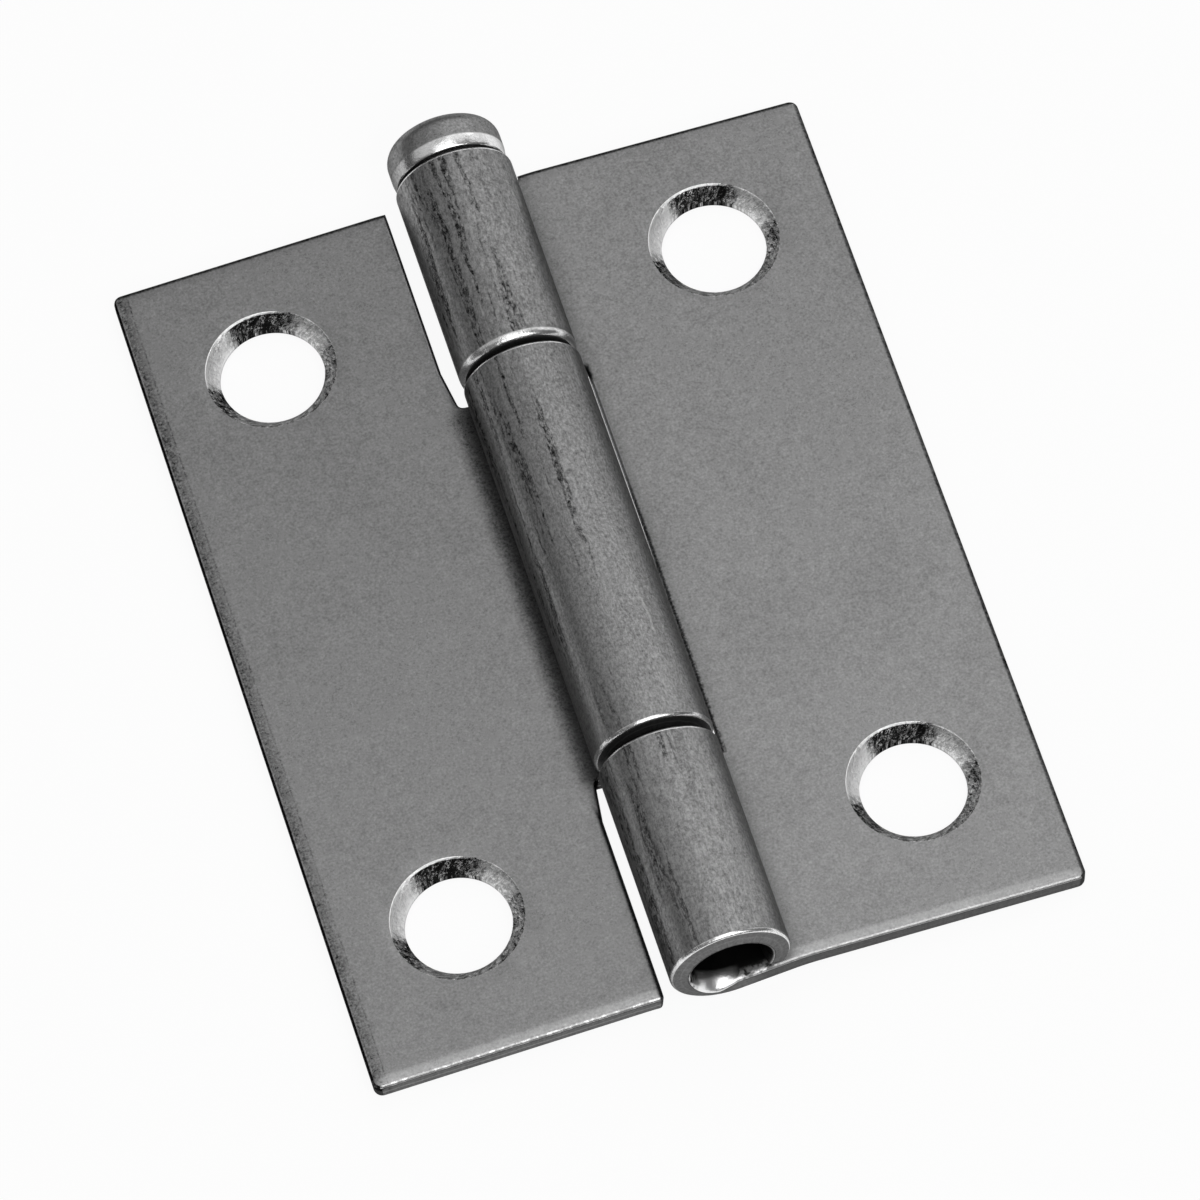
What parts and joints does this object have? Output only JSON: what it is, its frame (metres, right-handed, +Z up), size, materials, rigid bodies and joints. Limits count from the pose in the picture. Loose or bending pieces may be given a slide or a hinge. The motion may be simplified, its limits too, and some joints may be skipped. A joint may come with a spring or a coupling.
{
  "type": "narrow hinge",
  "caption": "Narrow steel butt hinge, lying open: flat leaves with countersunk screw holes, rolled interlocking knuckles and a headed, removable pin.",
  "frame": {"origin": "on the surface that the hinge lies on, at the centre of its outline: under the pin's axis, midway between the open end of the barrel and the top of the pin's head", "axes": "+X towards the leaf with the end knuckles, +Y along the pin towards its head, +Z up, out of the countersunk faces"},
  "size_m": [0.0396, 0.0536, 0.0067],
  "materials": {
    "middle_leaf_steel": "satin zinc-plated steel, faintly mottled",
    "end_leaf_steel": "satin zinc-plated steel, faintly mottled",
    "pin_steel": "satin zinc-plated steel, brighter beside the knuckle"
  },
  "bodies": {
    "end_leaf": {"end_knuckle_leaf": "end_leaf_steel"},
    "middle_leaf": {"middle_knuckle_leaf": "middle_leaf_steel"},
    "pin": {"hinge_pin": "pin_steel"}
  },
  "joints": [
    {"name": "leaf_hinge", "type": "hinge", "parent": "end_leaf", "child": "middle_leaf", "pos_m": [0, 0, 0.00335], "axis": [0, 1, 0], "range_deg": [-98, 192]},
    {"name": "pin_slide", "type": "slide", "parent": "end_leaf", "child": "pin", "axis": [0, 1, 0], "range_m": [0, 0.0475]}
  ]
}
